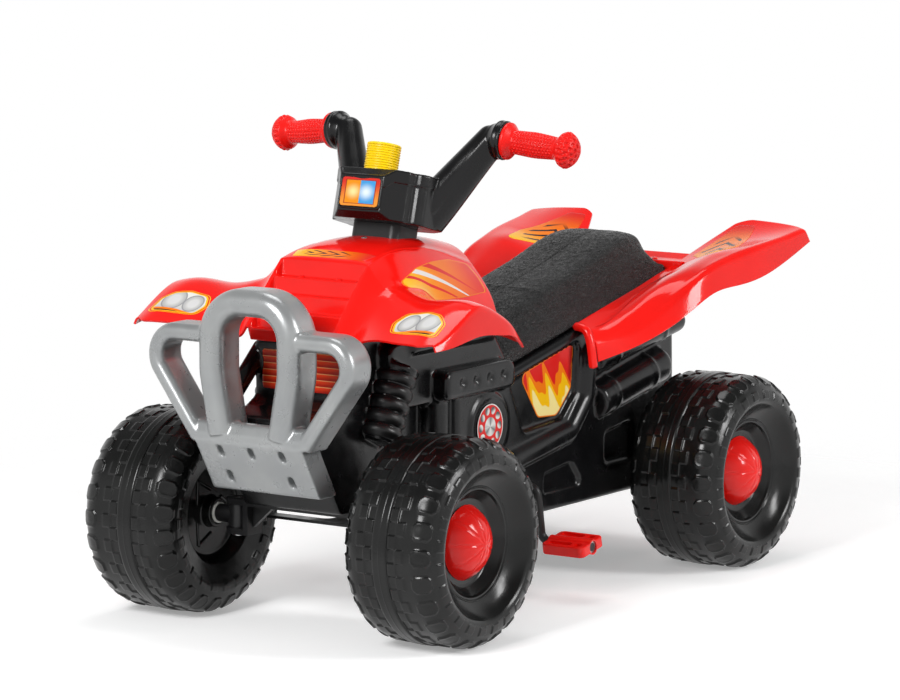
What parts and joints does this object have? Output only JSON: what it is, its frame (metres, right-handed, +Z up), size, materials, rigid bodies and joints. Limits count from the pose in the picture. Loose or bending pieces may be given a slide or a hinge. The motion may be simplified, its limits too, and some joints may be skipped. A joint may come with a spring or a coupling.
{
  "type": "ride-on pedal quad bike for a child",
  "caption": "Moulded pedal quad bike for a small child with chunky wheels, steered handlebar, bellows horn, chain drive to the rear axle, bull bar and red mudguards.",
  "frame": {"origin": "on the ground, below the middle of the overall box", "axes": "+Z up, -Y is the front of the quad bike, +X is the rider's left"},
  "size_m": [0.5716, 1.042, 0.6575],
  "materials": {
    "red_gloss": "glossy moulded",
    "red_grip": "soft satin",
    "black_shell": "satin moulded",
    "black_seat": "coarse grain",
    "black_wheel": "satin moulded",
    "silver_plastic": "silver satin",
    "yellow_rubber": "soft satin",
    "panel_print": "printed label",
    "white_nylon": "natural",
    "zinc_steel": "zinc plated",
    "black_screw": "black zinc",
    "black_frame": "moulded"
  },
  "bodies": {
    "chassis": {"chassis_shell": "black_shell", "front_cowl": "red_gloss", "rear_fender": "red_gloss", "seat": "black_seat", "bumper": "silver_plastic", "front_axle_beam": "black_frame", "kingpins": "zinc_steel", "steering_collar": "black_shell", "column_bush": "white_nylon", "crank_bushes": "white_nylon", "rear_axle_bushes": "white_nylon", "drive_chain": "zinc_steel", "chain_cover": "black_shell", "cowl_screws": "black_screw", "fender_screws": "black_screw", "bumper_screws": "black_screw", "cover_screws": "black_screw", "beam_bolts": "black_screw"},
    "steering": {"handlebar": "black_shell", "grip_left": "red_grip", "grip_right": "red_grip", "console_panel": "panel_print", "steering_column": "zinc_steel", "handlebar_bolt": "zinc_steel", "horn_bellows": "yellow_rubber"},
    "horn": {"horn_cap": "yellow_rubber"},
    "knuckle_l": {"knuckle_left": "black_frame", "stub_axle_left": "zinc_steel", "axle_nut_front_left": "zinc_steel", "rod_clip_left": "zinc_steel"},
    "knuckle_r": {"knuckle_right": "black_frame", "stub_axle_right": "zinc_steel", "axle_nut_front_right": "zinc_steel", "rod_clip_right": "zinc_steel"},
    "link": {"track_rod": "zinc_steel"},
    "wheel_fl": {"wheel_front_left": "black_wheel", "hub_cap_front_left": "red_gloss", "wheel_bushes_front_left": "white_nylon"},
    "wheel_fr": {"wheel_front_right": "black_wheel", "hub_cap_front_right": "red_gloss", "wheel_bushes_front_right": "white_nylon"},
    "rear_drive": {"rear_axle": "zinc_steel", "rear_sprocket": "zinc_steel", "drive_pin": "zinc_steel", "axle_nuts_rear": "zinc_steel", "axle_spacers": "white_nylon", "wheel_rear_left": "black_wheel", "hub_cap_rear_left": "red_gloss"},
    "wheel_rr": {"wheel_rear_right": "black_wheel", "hub_cap_rear_right": "red_gloss", "wheel_bushes_rear_right": "white_nylon"},
    "crank": {"crankshaft": "zinc_steel", "chainwheel": "zinc_steel", "pedal_clip_left": "zinc_steel", "pedal_clip_right": "zinc_steel"},
    "pedal_l": {"pedal_left": "red_gloss"},
    "pedal_r": {"pedal_right": "red_gloss"}
  },
  "joints": [
    {"name": "steer", "type": "hinge", "parent": "chassis", "child": "steering", "pos_m": [0, -0.204, 0.505], "axis": [0, 0.2588, 0.9659], "range_deg": [-20, 20]},
    {"name": "knuckle_left_turn", "type": "hinge", "parent": "chassis", "child": "knuckle_l", "pos_m": [0.118, -0.376, 0.137], "axis": [0, 0, 1], "range_deg": [-20, 20]},
    {"name": "knuckle_right_turn", "type": "hinge", "parent": "chassis", "child": "knuckle_r", "pos_m": [-0.118, -0.376, 0.137], "axis": [0, 0, 1], "range_deg": [-20, 20]},
    {"name": "track_rod_pivot", "type": "hinge", "parent": "knuckle_l", "child": "link", "pos_m": [0.118, -0.326, 0.137], "axis": [0, 0, 1], "range_deg": [-20, 20]},
    {"name": "horn_press", "type": "slide", "parent": "steering", "child": "horn", "axis": [0, -0.2588, -0.9659], "range_m": [0, 0.012], "stiffness_N_per_m": 400, "springref_m": -0.002, "deforming": ["horn_bellows"]},
    {"name": "front_left_spin", "type": "hinge", "parent": "knuckle_l", "child": "wheel_fl", "pos_m": [0.211, -0.376, 0.137], "axis": [1, 0, 0], "continuous": true},
    {"name": "front_right_spin", "type": "hinge", "parent": "knuckle_r", "child": "wheel_fr", "pos_m": [-0.211, -0.376, 0.137], "axis": [1, 0, 0], "continuous": true},
    {"name": "rear_axle_spin", "type": "hinge", "parent": "chassis", "child": "rear_drive", "pos_m": [0, 0.313, 0.137], "axis": [1, 0, 0], "continuous": true, "deforming": ["drive_chain"]},
    {"name": "rear_right_spin", "type": "hinge", "parent": "rear_drive", "child": "wheel_rr", "pos_m": [-0.211, 0.313, 0.137], "axis": [1, 0, 0], "continuous": true},
    {"name": "crank_spin", "type": "hinge", "parent": "chassis", "child": "crank", "pos_m": [0, -0.02956, 0.15], "axis": [1, 0, 0], "continuous": true},
    {"name": "pedal_left_spin", "type": "hinge", "parent": "crank", "child": "pedal_l", "pos_m": [0.213, -0.01601, 0.07319], "axis": [1, 0, 0], "continuous": true},
    {"name": "pedal_right_spin", "type": "hinge", "parent": "crank", "child": "pedal_r", "pos_m": [-0.213, -0.0431, 0.22681], "axis": [1, 0, 0], "continuous": true}
  ],
  "couplings": [
    {"joint": "knuckle_left_turn", "follows": "steer", "ratio": 1},
    {"joint": "knuckle_right_turn", "follows": "steer", "ratio": 1},
    {"joint": "track_rod_pivot", "follows": "steer", "ratio": -1},
    {"joint": "crank_spin", "follows": "rear_axle_spin", "ratio": 0.75}
  ]
}
